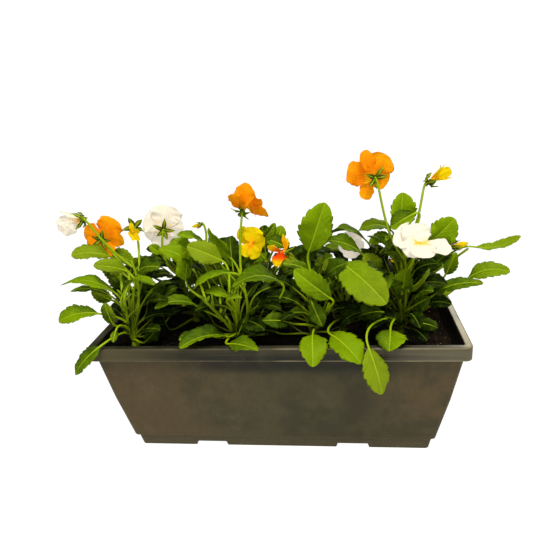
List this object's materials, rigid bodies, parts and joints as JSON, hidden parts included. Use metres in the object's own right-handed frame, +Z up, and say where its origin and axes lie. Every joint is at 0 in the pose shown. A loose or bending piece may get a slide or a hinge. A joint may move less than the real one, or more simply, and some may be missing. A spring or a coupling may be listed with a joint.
{
  "type": "planted window box",
  "caption": "Long dark plastic window box with a folded rim, filled with potting mix and planted with flowering pansies with toothed leaves, open blooms and buds.",
  "frame": {"origin": "centre of the trough's flat underside", "axes": "+X along the trough to the right, +Y to the back, +Z up"},
  "size_m": [0.501, 0.2058, 0.324],
  "materials": {
    "box_plastic": "moulded charcoal plastic with a brown tinge, satin, dusty",
    "potting_mix": "damp peat and bark potting mix with pale grains",
    "leaf_green": "living leaf, satin upper side with pale veins, paler underside, yellow-green stalks",
    "petal_orange": "velvety orange petal with fine darker veins",
    "petal_yellow": "velvety yellow petal with an orange eye",
    "petal_gold": "velvety golden petal with a red blotch round the eye",
    "petal_white": "velvety cream-white petal, translucent, with a yellow eye"
  },
  "bodies": {
    "root": {"window_box": "box_plastic", "potting_mix": "potting_mix", "bloom_white_far_left": "petal_white", "bloom_orange_left": "petal_orange", "bloom_white_back": "petal_white", "bloom_orange_middle": "petal_orange", "bloom_yellow": "petal_yellow", "bloom_gold": "petal_gold", "bloom_white_middle": "petal_white", "bloom_orange_tall": "petal_orange", "bloom_white_right": "petal_white", "bud_yellow_left": "petal_yellow", "bud_pale_back": "petal_yellow", "bud_yellow_tall": "petal_yellow", "bud_orange_low": "petal_gold", "bud_yellow_right": "petal_yellow", "pansy_plant_1": "leaf_green", "pansy_plant_2": "leaf_green", "pansy_plant_3": "leaf_green", "pansy_plant_4": "leaf_green", "pansy_plant_5": "leaf_green", "pansy_plant_6": "leaf_green", "pansy_plant_7": "leaf_green", "pansy_plant_8": "leaf_green"}
  },
  "joints": []
}
